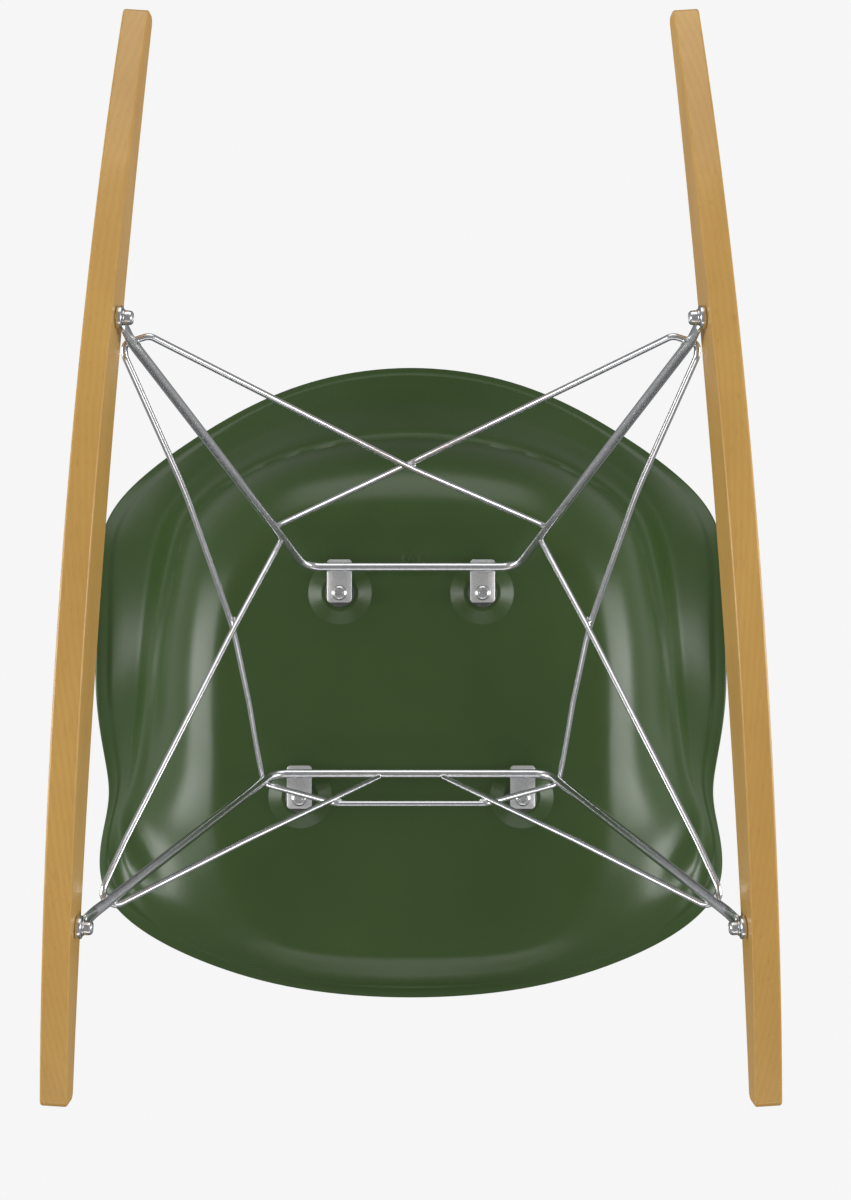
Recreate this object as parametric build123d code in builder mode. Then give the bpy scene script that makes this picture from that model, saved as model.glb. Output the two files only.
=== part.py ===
from build123d import *
import math
import os

import numpy as np

# A rocking chair: a one-piece moulded armchair shell on a welded cradle of
# bent rods and wires, which is screwed to two solid wooden rockers.
# Frame: +Z up, the sitter looks along -Y, X is mirror symmetric.
# The origin is on the floor, in the middle of the rockers' length.
# Units are millimetres.

# ---------------------------------------------------------------- dimensions
rocker_length = 819.0
rocker_width = 20.0
rocker_half_spacing = 234.3
rocker_toe_in = 3.66
rocker_radius = 1150.0
rocker_lowest_y = -73.0
rocker_height = 56.0
rocker_front_end_height = 26.0
rocker_rear_end_height = 21.0
rocker_end_radius = 6.0
rocker_edge_radius = 2.0

rod_diameter = 8.0
wire_diameter = 5.0
bar_height = 332.0
rear_bar_y = -10.5
front_bar_y = -192.4
rear_bar_corner_x = 93.0
front_bar_corner_x = 121.3

eyelet_diameter = 17.0
eyelet_thickness = 4.8
rear_eyelet_y = 165.8
rear_eyelet_z = 47.0
front_eyelet_y = -275.7
front_eyelet_z = 41.0
rod_end_gap = 7.2
bar_bend_radius = 20.0
foot_bend_radius = 40.0

rocker_screw_diameter = 6.0
rocker_screw_depth = 13.0
rocker_screw_head_diameter = 10.6
rocker_screw_head_height = 6.0
rocker_screw_head_lip = 3.0
rocker_screw_socket = 5.0
washer_diameter = 12.0
washer_thickness = 1.4
sleeve_diameter = 10.0
sleeve_length = 15.0
thread_gap = 0.05
hole_gap = 0.4

plate_width = 22.0
plate_length = 38.0
plate_thickness = 3.0
plate_overhang = 6.8
rear_mount_x = 63.2
rear_mount_y = -33.0
front_mount_x = 98.6
front_mount_y = -214.5

pad_diameter = 26.0
pad_thickness = 6.8
mount_screw_diameter = 8.0
mount_screw_length = 17.0
mount_screw_head_diameter = 14.0
mount_screw_head_height = 4.6
mount_screw_head_lip = 0.9
mount_screw_socket = 5.0
insert_diameter = 14.0
insert_length = 8.0

boss_top_diameter = 58.0
boss_bottom_diameter = 32.0
shell_thickness = 5.0
shell_floor_z = 351.0
shell_floor_centre_y = -157.5
shell_floor_half_width = 163.0
shell_floor_half_depth = 188.0
shell_floor_power = 3.5

plate_bottom_z = bar_height + rod_diameter / 2 - 0.4
plate_top_z = plate_bottom_z + plate_thickness
pad_top_z = plate_top_z + pad_thickness

# Guide rows of the shell's underside, from the middle of the front edge round
# the right-hand side to the middle of the back. Each row gives a point on the
# crease round the bucket, one on the bend under the arm, and one on the rim.
guide_rows = [
    ((0, -360, 352.3), (0, -384, 361), (0, -399, 372)),
    ((112, -352, 353.3), (118, -374, 363.5), (124, -387.5, 377)),
    ((190, -317, 362.5), (207, -339, 374), (221.5, -354.7, 386)),
    ((225, -281, 379), (251, -298, 385), (268, -322, 389)),
    ((244, -258, 398), (266, -270, 403), (285, -296, 400)),
    ((254, -230, 420), (273, -242, 430), (290.5, -266, 432)),
    ((252.5, -198, 443), (274, -212, 474), (290, -230.7, 470)),
    ((250, -163, 461), (275.5, -176, 512), (300.3, -196.6, 516)),
    ((246, -113, 476), (273, -120, 541), (314.3, -135.2, 548)),
    ((240.5, -58, 486), (268.5, -56, 551), (315.9, -52.9, 558)),
    ((229.5, 4, 502), (261, 16, 566), (312.7, 26.5, 574)),
    ((208, 54, 521), (238, 68, 590), (281.4, 84.3, 609)),
    ((151, 94, 545), (181, 116, 618), (214, 141, 655)),
    ((82, 116, 556), (98, 149, 628), (119, 192, 691)),
    ((0, 125, 560), (0, 162, 634), (0, 212, 700)),
]


# ------------------------------------------------------------ shell surfaces
# Each guide row gives one section of the wall: four cubic curves, from the
# edge of the flat floor to the crease, along the narrow ledge of the crease,
# to the bend and to the rim. Closed
# cubic splines join the sections round the shell, so the wall is made of
# smooth four-sided patches that meet exactly.
def ramp(value, low, high):
    """Smooth step from 0 at low to 1 at high."""
    t = min(max((value - low) / (high - low), 0.0), 1.0)
    return t * t * (3 - 2 * t)


wall_curves = 4


def floor_point(toward):
    """Edge of the flat seat floor in the direction of a guide point."""
    across = abs(toward[0]) / shell_floor_half_width
    along = abs(toward[1] - shell_floor_centre_y) / shell_floor_half_depth
    reach = (across**shell_floor_power + along**shell_floor_power) ** (-1 / shell_floor_power)
    x = toward[0] * reach
    y = shell_floor_centre_y + (toward[1] - shell_floor_centre_y) * reach
    return np.array([x, y, shell_floor_z])


def leaning(outward, angle):
    """Unit vector that points outward and up by an angle in degrees."""
    return math.cos(math.radians(angle)) * outward + np.array([0, 0, math.sin(math.radians(angle))])


def wall_section(row):
    """Control points of the four curves of one section of the underside."""
    crease, bend, rim = (np.array(point, dtype=float) for point in guide_rows[row])
    floor = floor_point(crease)
    outward = rim - floor
    outward[2] = 0
    outward = outward / np.linalg.norm(outward)
    wall = ramp(row, 2.5, 6)
    arm = ramp(row, 4.5, 7) * (1 - ramp(row, 9.5, 12))
    bucket_run = np.linalg.norm(crease - floor)
    flare_run = np.linalg.norm(bend - crease)
    rim_run = np.linalg.norm(rim - bend)
    crease_way = leaning(outward, 18 + 15 * wall)
    bend_way = leaning(outward, 34 + 29 * wall - 31 * arm)
    rim_way = leaning(outward, 26 - 6 * wall - 18 * arm)
    ledge = (1 + 2 * wall) * crease_way
    low, high = crease - ledge, crease + ledge
    return [
        floor,
        floor + (0.50 - 0.05 * wall) * bucket_run * outward,
        low - (0.30 * bucket_run * (1 - wall) + 12 * wall) * crease_way,
        low,
        low,
        low + 2 / 3 * ledge,
        high - 2 / 3 * ledge,
        high,
        high,
        high + (0.33 * flare_run * (1 - wall) + 12 * wall) * crease_way,
        bend - (0.33 * flare_run * (1 - arm) + 16 * arm) * bend_way,
        bend,
        bend,
        bend + (0.33 * rim_run * (1 - arm) + 6 * arm) * bend_way,
        rim - (14 + 8 * arm) * rim_way,
        rim,
    ]


def closed_loop(half):
    """Sections of the right half, continued over the mirrored left half."""
    left = [section * np.array([-1, 1, 1]) for section in half[-2:0:-1]]
    return np.array(list(half) + left)


def loop_slopes(loop):
    """Slopes that make the closed cubic splines through the sections smooth."""
    count = len(loop)
    matrix = 4 * np.eye(count) + np.roll(np.eye(count), 1, axis=1) + np.roll(np.eye(count), -1, axis=1)
    steps = 3 * (np.roll(loop, -1, axis=0) - np.roll(loop, 1, axis=0))
    return np.linalg.solve(matrix, steps.reshape(count, -1)).reshape(loop.shape)


def bezier(points, t):
    a, b, c, d = points
    return (1 - t) ** 3 * a + 3 * t * (1 - t) ** 2 * b + 3 * t**2 * (1 - t) * c + t**3 * d


def bezier_slope(points, t):
    a, b, c, d = points
    return 3 * (1 - t) ** 2 * (b - a) + 6 * t * (1 - t) * (c - b) + 3 * t**2 * (d - c)


def through_wall(section, slopes, curve, t):
    """Point of a section moved square through the wall to the upper side."""
    part = slice(4 * curve, 4 * curve + 4)
    normal = np.cross(bezier(slopes[part], t), bezier_slope(section[part], t))
    if curve == 0 and t == 0:
        normal = np.array([0.0, 0.0, 1.0])
    normal = normal / np.linalg.norm(normal)
    return bezier(section[part], t) + shell_thickness * normal * math.copysign(1, normal[2])


def upper_section(section, slopes):
    """Control points of the matching section of the upper side."""
    step = 0.001
    moved = []
    for curve in range(wall_curves):
        start = through_wall(section, slopes, curve, 0) if curve == 0 else moved[-1]
        end = through_wall(section, slopes, curve, 1)
        start_slope = (through_wall(section, slopes, curve, step) - start) / step
        end_slope = (end - through_wall(section, slopes, curve, 1 - step)) / step
        moved += [start, start + start_slope / 3, end - end_slope / 3, end]
    moved[1][2] = moved[0][2]
    return moved


def patch_faces(loop):
    """Right-hand wall patches, with the floor edges and rim edges they end on."""
    slopes = loop_slopes(loop)
    faces_made = []
    floor_edges = []
    rim_edges = []
    for row in range(len(guide_rows) - 1):
        columns = [
            loop[row],
            loop[row] + slopes[row] / 3,
            loop[row + 1] - slopes[row + 1] / 3,
            loop[row + 1],
        ]
        for curve in range(wall_curves):
            net = [[tuple(point) for point in column[4 * curve : 4 * curve + 4]] for column in columns]
            faces_made.append(Face.make_bezier_surface(net))
        floor_edges.append(Edge.make_bezier(*[tuple(column[0]) for column in columns]))
        rim_edges.append(Edge.make_bezier(*[tuple(column[-1]) for column in columns]))
    return faces_made, floor_edges, rim_edges


def half_floor(edges):
    """Flat face between the floor edges of one half and the middle plane."""
    return Face(Wire(edges + [Edge.make_line(edges[-1] @ 1, edges[0] @ 0)]))


# ------------------------------------------------------------------- helpers
def save(builder, name):
    builder.part.label = name
    export_step(builder.part, f"parts/{name}.step")


def bent_rod(points, radii, diameter, welded_to):
    """Round rod along straight runs joined by arcs, cut where it meets others."""
    with BuildPart() as rod:
        with BuildLine() as path:
            FilletPolyline(*points, radius=radii)
        with BuildSketch(Plane(origin=path.line @ 0, z_dir=path.line % 0)):
            Circle(diameter / 2)
        sweep(path=path.line)
        for neighbour in welded_to:
            add(neighbour, mode=Mode.SUBTRACT)
    return rod


def mirrored_points(points):
    return [(-x, y, z) for x, y, z in reversed(points)]


toe_slope = math.tan(math.radians(rocker_toe_in))
rocker_half_thickness = rocker_width / 2 / math.cos(math.radians(rocker_toe_in))


def foot_plane(y, z, side):
    """Plane on a rocker's inner face, at a foot, with its normal inward."""
    x = rocker_half_spacing - toe_slope * y - rocker_half_thickness
    return Plane(origin=(side * x, y, z), x_dir=(-side * toe_slope, 1, 0), z_dir=(-side, -toe_slope, 0))


def rocker_rise(y):
    """Height of the rocker's rolling edge above the floor."""
    return rocker_radius - math.sqrt(rocker_radius**2 - (y - rocker_lowest_y) ** 2)


os.makedirs("parts", exist_ok=True)
sides = {"left": 1, "right": -1}
feet = {
    "rear": (rear_eyelet_y, rear_eyelet_z),
    "front": (front_eyelet_y, front_eyelet_z),
}
mounts = {
    "rear": (rear_mount_x, rear_mount_y, rear_bar_y),
    "front": (front_mount_x, front_mount_y, front_bar_y),
}
foot_planes = {
    f"{end}_{name}": foot_plane(y, z, side)
    for end, (y, z) in feet.items()
    for name, side in sides.items()
}
mount_places = {
    f"{end}_{name}": (side * x, y)
    for end, (x, y, _) in mounts.items()
    for name, side in sides.items()
}

# ---------------------------------------------------------------- seat shell
outer_loop = closed_loop([np.array(wall_section(row)) for row in range(len(guide_rows))])
outer_slopes = loop_slopes(outer_loop)
inner_loop = closed_loop(
    [np.array(upper_section(outer_loop[row], outer_slopes[row])) for row in range(len(guide_rows))]
)
outer_faces, outer_floor, outer_rim = patch_faces(outer_loop)
inner_faces, inner_floor, inner_rim = patch_faces(inner_loop)
half_faces = outer_faces + inner_faces + [half_floor(outer_floor), half_floor(inner_floor)]
for outer_edge, inner_edge in zip(outer_rim, inner_rim):
    half_faces.append(Face.make_surface_from_curves(outer_edge, inner_edge))
shell_faces = half_faces + [face.mirror(Plane.YZ) for face in half_faces]
shell_solid = Solid(Shell(shell_faces))

boss_root = 1.0
with BuildPart() as seat_shell:
    add(shell_solid)
    with Locations([(x, y, pad_top_z) for x, y in mount_places.values()]):
        Cone(
            boss_bottom_diameter / 2,
            boss_top_diameter / 2,
            shell_floor_z - pad_top_z + boss_root,
            align=(Align.CENTER, Align.CENTER, Align.MIN),
        )
        Cylinder(
            insert_diameter / 2 + thread_gap,
            insert_length,
            align=(Align.CENTER, Align.CENTER, Align.MIN),
            mode=Mode.SUBTRACT,
        )
save(seat_shell, "seat_shell")

# ------------------------------------------------------------------- rockers
end_y = rocker_length / 2
front_bottom = (-end_y, rocker_rise(-end_y))
rear_bottom = (end_y, rocker_rise(end_y))
front_top = (-end_y, front_bottom[1] + rocker_front_end_height)
rear_top = (end_y, rear_bottom[1] + rocker_rear_end_height)
rockers = {}
for name, side in sides.items():
    toe = Plane(
        origin=(side * rocker_half_spacing, 0, 0),
        x_dir=(-side * toe_slope, 1, 0),
        z_dir=(1, side * toe_slope, 0),
    )
    with BuildPart() as rocker:
        with BuildSketch(toe):
            with BuildLine():
                ThreePointArc(front_bottom, (rocker_lowest_y, 0), rear_bottom)
                Line(rear_bottom, rear_top)
                ThreePointArc(rear_top, (rocker_lowest_y, rocker_height), front_top)
                Line(front_top, front_bottom)
            make_face()
            fillet(vertices(), radius=rocker_end_radius)
        extrude(amount=rocker_width / 2, both=True)
        broad_faces = faces().sort_by(Axis.X)
        fillet(broad_faces[0].edges() + broad_faces[-1].edges(), radius=rocker_edge_radius)
        for foot in (f"{end}_{name}" for end in feet):
            with BuildSketch(foot_planes[foot]):
                Circle(sleeve_diameter / 2 + thread_gap)
            extrude(amount=-sleeve_length, mode=Mode.SUBTRACT)
    rockers[name] = rocker
    save(rocker, f"rocker_{name}")

with BuildPart() as rocker_sleeves:
    for place in foot_planes.values():
        with BuildSketch(place):
            Circle(sleeve_diameter / 2)
            Circle(rocker_screw_diameter / 2 + thread_gap, mode=Mode.SUBTRACT)
        extrude(amount=-sleeve_length)
save(rocker_sleeves, "rocker_sleeves")

# ------------------------------------------------ eyelets and their fastenings
eyelets = {}
for foot, place in foot_planes.items():
    with BuildPart() as eyelet:
        with BuildSketch(place):
            Circle(eyelet_diameter / 2)
            Circle((rocker_screw_diameter + hole_gap) / 2, mode=Mode.SUBTRACT)
        extrude(amount=eyelet_thickness)
    eyelets[foot] = eyelet
    save(eyelet, f"{foot}_eyelet")

with BuildPart() as rocker_washers:
    for place in foot_planes.values():
        with BuildSketch(place.offset(eyelet_thickness)):
            Circle(washer_diameter / 2)
            Circle((rocker_screw_diameter + hole_gap) / 2, mode=Mode.SUBTRACT)
        extrude(amount=washer_thickness)
save(rocker_washers, "rocker_washers")


def half_dome(diameter, height, lip):
    """Half profile of a domed screw head, from its seat up to its crown."""
    radius = diameter / 2
    with BuildSketch(mode=Mode.PRIVATE) as profile:
        with BuildLine():
            Line((0, 0), (radius, 0))
            Line((radius, 0), (radius, lip))
            ThreePointArc((radius, lip), (radius * 0.78, lip + (height - lip) * 0.66), (radius * 0.3, height))
            Line((radius * 0.3, height), (0, height))
            Line((0, height), (0, 0))
        make_face()
    return profile.sketch


def screw(head_diameter, head_height, head_lip, socket, shank_diameter, shank_length):
    """Domed socket screw with its head above the XY plane and its shank below."""
    with BuildPart(mode=Mode.PRIVATE) as body:
        with BuildSketch(Plane.XZ):
            add(half_dome(head_diameter, head_height, head_lip))
        revolve(axis=Axis.Z)
        with BuildSketch(Plane.XY.offset(head_height * 0.4)):
            RegularPolygon(socket / 2, 6, major_radius=False)
        extrude(amount=head_height, mode=Mode.SUBTRACT)
        with BuildSketch(Plane.XY):
            Circle(shank_diameter / 2)
        extrude(amount=-shank_length)
        chamfer(faces().sort_by(Axis.Z)[0].edges(), length=shank_diameter / 10)
    return body.part


rocker_screw = screw(
    rocker_screw_head_diameter,
    rocker_screw_head_height,
    rocker_screw_head_lip,
    rocker_screw_socket,
    rocker_screw_diameter,
    rocker_screw_depth + eyelet_thickness + washer_thickness,
)
with BuildPart() as rocker_screws:
    for place in foot_planes.values():
        add(place.offset(eyelet_thickness + washer_thickness).location * rocker_screw)
save(rocker_screws, "rocker_screws")

# ------------------------------------------------------------------ leg rods
# Each rod is a U: foot, slight bend over the rocker, bend into the cross bar.
rod_bends = {
    "rear": ((206.6, 151.6, 70.0), (rear_bar_corner_x, rear_bar_y, bar_height)),
    "front": ((232.8, -269.1, 66.0), (front_bar_corner_x, front_bar_y, bar_height)),
}
rods = {}
for end, (ankle, corner) in rod_bends.items():
    lug = foot_planes[f"{end}_left"].offset(eyelet_thickness / 2).origin
    tip = lug + (Vector(ankle) - lug).normalized() * rod_end_gap
    right_half = [tuple(tip), ankle, corner]
    rod = bent_rod(
        right_half + mirrored_points(right_half),
        [foot_bend_radius, bar_bend_radius, bar_bend_radius, foot_bend_radius],
        rod_diameter,
        [part.part for part in (*eyelets.values(), *rockers.values())],
    )
    rods[end] = rod
    save(rod, f"{end}_leg_rod")

# --------------------------------------------------------------- brace wires
# Route of the cradle wire over one side: centre of the back, round the foot of
# the rear leg, along the side, over the front leg, corner of the low front bar.
rear_knot = (0, 69.5, 204.0)
knot_gap = (0, 2.2, 1.4)
rear_leg_weld = (116.1, 22.6, 279.6)
cradle_side = [
    (194.0, 156.5, 77.2),
    (213.2, 151, 79.0),
    (212.8, 141.5, 81.8),
    (177.3, 46, 157.0),
    (147.5, -63.4, 242.0),
    (137.8, -128, 282.5),
    (132.1, -179, 313.0),
    (129.2, -200.8, 326.8),
    (64.0, -213.4, 284.0),
]
cradle_radii = [8.0, 6.0, 10.0, 400.0, 200.0, 200.0, 60.0, 7.0, 14.0]
lower_knot = tuple(Vector(rear_knot) - Vector(knot_gap))
upper_knot = tuple(Vector(rear_knot) + Vector(knot_gap))
cradle_wire = bent_rod(
    [mirrored_points([rear_leg_weld])[0], lower_knot]
    + cradle_side
    + mirrored_points(cradle_side)
    + [upper_knot, rear_leg_weld],
    [200.0] + cradle_radii + cradle_radii[::-1] + [200.0],
    wire_diameter,
    [rod.part for rod in rods.values()],
)
save(cradle_wire, "cradle_wire")

# Route of a side wire: top of the rear leg, under the cradle wire, round the
# foot of the front leg, up to the underside of the front cross bar.
brace_side = [
    (110.2, 14.2, 293.2),
    (146.5, -63.2, 232.0),
    (217.4, -222.2, 113.5),
    (230.0, -253.7, 91.8),
    (231.4, -262.8, 91.6),
    (221.6, -269, 92.4),
    (133.7, -233.8, 197.6),
    (28.0, -195.2, 326.6),
]
brace_radii = [200.0, 200.0, 12.0, 5.5, 7.0, 400.0]
for name, side in sides.items():
    brace_wire = bent_rod(
        [(side * x, y, z) for x, y, z in brace_side],
        brace_radii,
        wire_diameter,
        [rod.part for rod in rods.values()],
    )
    save(brace_wire, f"brace_wire_{name}")

# ------------------------------------------------------ seat mounts on the bars
for end, (x, y, bar_y) in mounts.items():
    for name, side in sides.items():
        with BuildPart() as plate:
            with BuildSketch(Plane.XY.offset(plate_bottom_z)):
                with Locations((side * x, bar_y + plate_overhang - plate_length / 2)):
                    RectangleRounded(plate_width, plate_length, 3)
                with Locations((side * x, y)):
                    Circle((mount_screw_diameter + hole_gap) / 2, mode=Mode.SUBTRACT)
            extrude(amount=plate_thickness)
            chamfer(faces().sort_by(Axis.Z)[0].outer_wire().edges(), length=0.5)
            add(rods[end].part, mode=Mode.SUBTRACT)
        save(plate, f"{end}_{name}_mount_plate")

        with BuildPart() as pad:
            with BuildSketch(Plane.XY.offset(plate_top_z)):
                with Locations((side * x, y)):
                    Circle(pad_diameter / 2)
                    Circle((mount_screw_diameter + hole_gap) / 2, mode=Mode.SUBTRACT)
            extrude(amount=pad_thickness)
            fillet(edges().filter_by(GeomType.CIRCLE).sort_by(SortBy.RADIUS)[-2:], radius=0.6)
        save(pad, f"{end}_{name}_pad")

with BuildPart() as shell_inserts:
    for x, y in mount_places.values():
        with BuildSketch(Plane.XY.offset(pad_top_z)):
            with Locations((x, y)):
                Circle(insert_diameter / 2)
                Circle(mount_screw_diameter / 2 + thread_gap, mode=Mode.SUBTRACT)
        extrude(amount=insert_length)
save(shell_inserts, "shell_inserts")

mount_screw = screw(
    mount_screw_head_diameter,
    mount_screw_head_height,
    mount_screw_head_lip,
    mount_screw_socket,
    mount_screw_diameter,
    mount_screw_length,
)
with BuildPart() as mount_screws:
    for x, y in mount_places.values():
        seat = Plane(origin=(x, y, plate_bottom_z), x_dir=(1, 0, 0), z_dir=(0, 0, -1))
        add(seat.location * mount_screw)
save(mount_screws, "mount_screws")
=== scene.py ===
"""Looks of a rocking chair: a moulded armchair shell on a welded wire cradle and two wooden rockers.

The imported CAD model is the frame. Lengths in this script are millimetres, and make_piece turns
them into the frame's metres. The sitter looks along -Y, and the chair is mirror symmetric in X.
"""

import math
import random

import bmesh
import bpy
import numpy as np
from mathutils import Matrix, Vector
from mathutils.geometry import delaunay_2d_cdt


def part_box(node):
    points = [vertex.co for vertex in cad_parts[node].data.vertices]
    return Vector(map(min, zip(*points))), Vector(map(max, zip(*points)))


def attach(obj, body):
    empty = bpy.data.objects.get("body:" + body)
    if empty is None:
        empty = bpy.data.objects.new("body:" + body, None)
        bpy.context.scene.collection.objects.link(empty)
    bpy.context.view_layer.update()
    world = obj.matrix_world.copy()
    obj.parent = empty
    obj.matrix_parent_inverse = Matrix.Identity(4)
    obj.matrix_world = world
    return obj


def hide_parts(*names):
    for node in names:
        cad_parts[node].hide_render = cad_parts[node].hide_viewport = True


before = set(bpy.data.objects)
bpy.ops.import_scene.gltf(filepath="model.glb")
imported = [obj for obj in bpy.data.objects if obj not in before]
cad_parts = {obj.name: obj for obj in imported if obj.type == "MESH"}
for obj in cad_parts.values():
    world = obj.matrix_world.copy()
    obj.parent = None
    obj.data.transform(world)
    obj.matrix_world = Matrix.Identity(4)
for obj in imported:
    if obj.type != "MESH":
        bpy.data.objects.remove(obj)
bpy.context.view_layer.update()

MM = 0.001
BODY = "root"
SIDES = {"left": 1, "right": -1}
ENDS = ("rear", "front")
FEET = [f"{end}_{side}" for end in ENDS for side in SIDES]
rng = random.Random(7)

# ---------------------------------------------------------------- dimensions
# Guide rows of the shell's underside, from the middle of the front edge round
# one side to the middle of the back: a point on the crease round the bucket,
# one on the bend under the arm, and one on the rim.
GUIDE_ROWS = [
    ((0, -360, 352.3), (0, -384, 361), (0, -399, 372)),
    ((112, -352, 353.3), (118, -374, 363.5), (124, -387.5, 377)),
    ((190, -317, 362.5), (207, -339, 374), (221.5, -354.7, 386)),
    ((225, -281, 379), (251, -298, 385), (268, -322, 389)),
    ((244, -258, 398), (266, -270, 403), (285, -296, 400)),
    ((254, -230, 420), (273, -242, 430), (290.5, -266, 432)),
    ((252.5, -198, 443), (274, -212, 474), (290, -230.7, 470)),
    ((250, -163, 461), (275.5, -176, 512), (300.3, -196.6, 516)),
    ((246, -113, 476), (273, -120, 541), (314.3, -135.2, 548)),
    ((240.5, -58, 486), (268.5, -56, 551), (315.9, -52.9, 558)),
    ((229.5, 4, 502), (261, 16, 566), (312.7, 26.5, 574)),
    ((208, 54, 521), (238, 68, 590), (281.4, 84.3, 609)),
    ((151, 94, 545), (181, 116, 618), (214, 141, 655)),
    ((82, 116, 556), (98, 149, 628), (119, 192, 691)),
    ((0, 125, 560), (0, 162, 634), (0, 212, 700)),
]
FLOOR_Z = 351.0
FLOOR_CENTRE_Y = -157.5
FLOOR_HALF_WIDTH = 163.0
FLOOR_HALF_DEPTH = 188.0
FLOOR_POWER = 3.5
SHELL_THICKNESS = 5.0
BOSS_TOP_RADIUS = 29.0
BOSS_BOTTOM_RADIUS = 16.0
BORE_RADIUS = 7.05
BORE_DEPTH = 8.0
GATE_PLACE = (0.0, -3.0)
GATE_RADIUS = 8.0

ROD_RADIUS = 4.0
WIRE_RADIUS = 2.5
TOE_IN = math.radians(3.66)
EYELET_RADIUS = 8.5
EYELET_THICKNESS = 4.8
EYELET_HOLE_RADIUS = 3.2
WASHER_THICKNESS = 1.4

# Corners of the bent rods and wires, as the CAD model has them, with the
# radius of the bend at each.
ROD_ANKLES = {"rear": (206.6, 151.6, 70.0), "front": (232.8, -269.1, 66.0)}
ROD_CORNERS = {"rear": (93.0, -10.5, 332.0), "front": (121.3, -192.4, 332.0)}
ROD_RADII = [40.0, 20.0, 20.0, 40.0]
CRADLE_END = (116.1, 22.6, 279.6)
LOWER_KNOT = (0, 67.3, 202.6)
UPPER_KNOT = (0, 71.7, 205.4)
CRADLE_SIDE = [
    (194.0, 156.5, 77.2),
    (213.2, 151, 79.0),
    (212.8, 141.5, 81.8),
    (177.3, 46, 157.0),
    (147.5, -63.4, 242.0),
    (137.8, -128, 282.5),
    (132.1, -179, 313.0),
    (129.2, -200.8, 326.8),
    (64.0, -213.4, 284.0),
]
CRADLE_RADII = [8.0, 6.0, 10.0, 400.0, 200.0, 200.0, 60.0, 7.0, 14.0]
BRACE_SIDE = [
    (110.2, 14.2, 293.2),
    (146.5, -63.2, 232.0),
    (217.4, -222.2, 113.5),
    (230.0, -253.7, 91.8),
    (231.4, -262.8, 91.6),
    (221.6, -269, 92.4),
    (133.7, -233.8, 197.6),
    (28.0, -195.2, 326.6),
]
BRACE_RADII = [200.0, 200.0, 12.0, 5.5, 7.0, 400.0]


# ----------------------------------------------------------------- materials
class Shader:
    """A Principled material, with short ways to add the nodes that feed it."""

    def __init__(self, name, **constants):
        self.material = bpy.data.materials.new(name)
        self.material.use_nodes = True
        self.tree = self.material.node_tree
        self.principled = self.tree.nodes["Principled BSDF"]
        self.feed(self.principled, constants)

    def feed(self, node, inputs):
        for name, value in inputs.items():
            socket = node.inputs[name.replace("_", " ")]
            if isinstance(value, bpy.types.NodeSocket):
                self.tree.links.new(value, socket)
            else:
                socket.default_value = value

    def add(self, kind, settings=None, **inputs):
        node = self.tree.nodes.new("ShaderNode" + kind)
        for name, value in (settings or {}).items():
            setattr(node, name, value)
        self.feed(node, inputs)
        return node

    def coordinates(self, scale=(1, 1, 1), location=(0, 0, 0), turn=0.0):
        """Object coordinates in metres, turned about Z, moved and stretched."""
        where = self.add("TexCoord").outputs["Object"]
        turned = self.add("Mapping", Vector=where, Rotation=(0, 0, turn), Location=location)
        return self.add("Mapping", Vector=turned.outputs[0], Scale=scale).outputs[0]

    def noise(self, vector, scale, detail=3.0, roughness=0.5, distortion=0.0):
        node = self.add(
            "TexNoise", Vector=vector, Scale=scale, Detail=detail, Roughness=roughness, Distortion=distortion
        )
        return node.outputs["Fac"]

    def ramp(self, value, *stops):
        """Colour ramp through (position, colour) stops. A number stands for a grey."""
        node = self.add("ValToRGB", Fac=value)
        elements = node.color_ramp.elements
        while len(elements) < len(stops):
            elements.new(0.5)
        for element, (position, colour) in zip(elements, stops):
            element.position = position
            element.color = (*colour, 1) if isinstance(colour, tuple) else (colour, colour, colour, 1)
        return node.outputs["Color"]

    def mix(self, factor, first, second):
        node = self.add("Mix", {"data_type": "RGBA"})
        for socket, value in zip((node.inputs[0], node.inputs[6], node.inputs[7]), (factor, first, second)):
            if isinstance(value, bpy.types.NodeSocket):
                self.tree.links.new(value, socket)
            else:
                socket.default_value = (*value, 1) if isinstance(value, tuple) else value
        return node.outputs[2]

    def calc(self, operation, *values):
        node = self.add("Math", {"operation": operation})
        for socket, value in zip(node.inputs, values):
            if isinstance(value, bpy.types.NodeSocket):
                self.tree.links.new(value, socket)
            else:
                socket.default_value = value
        return node.outputs[0]

    def span(self, value, low, high):
        """The value, from 0 to 1, spread between low and high."""
        return self.add("MapRange", Value=value, To_Min=low, To_Max=high).outputs[0]

    def bump(self, *layers):
        """Normal from several (height, depth in metres) layers, one on another."""
        normal = None
        for height, depth in layers:
            node = self.add("Bump", Height=height, Distance=depth, Strength=1.0)
            if normal is not None:
                self.feed(node, {"Normal": normal})
            normal = node.outputs["Normal"]
        return normal

    def finish(self, colour, roughness, normal):
        self.feed(self.principled, {"Base_Color": colour, "Roughness": roughness, "Normal": normal})
        return self.material


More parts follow.
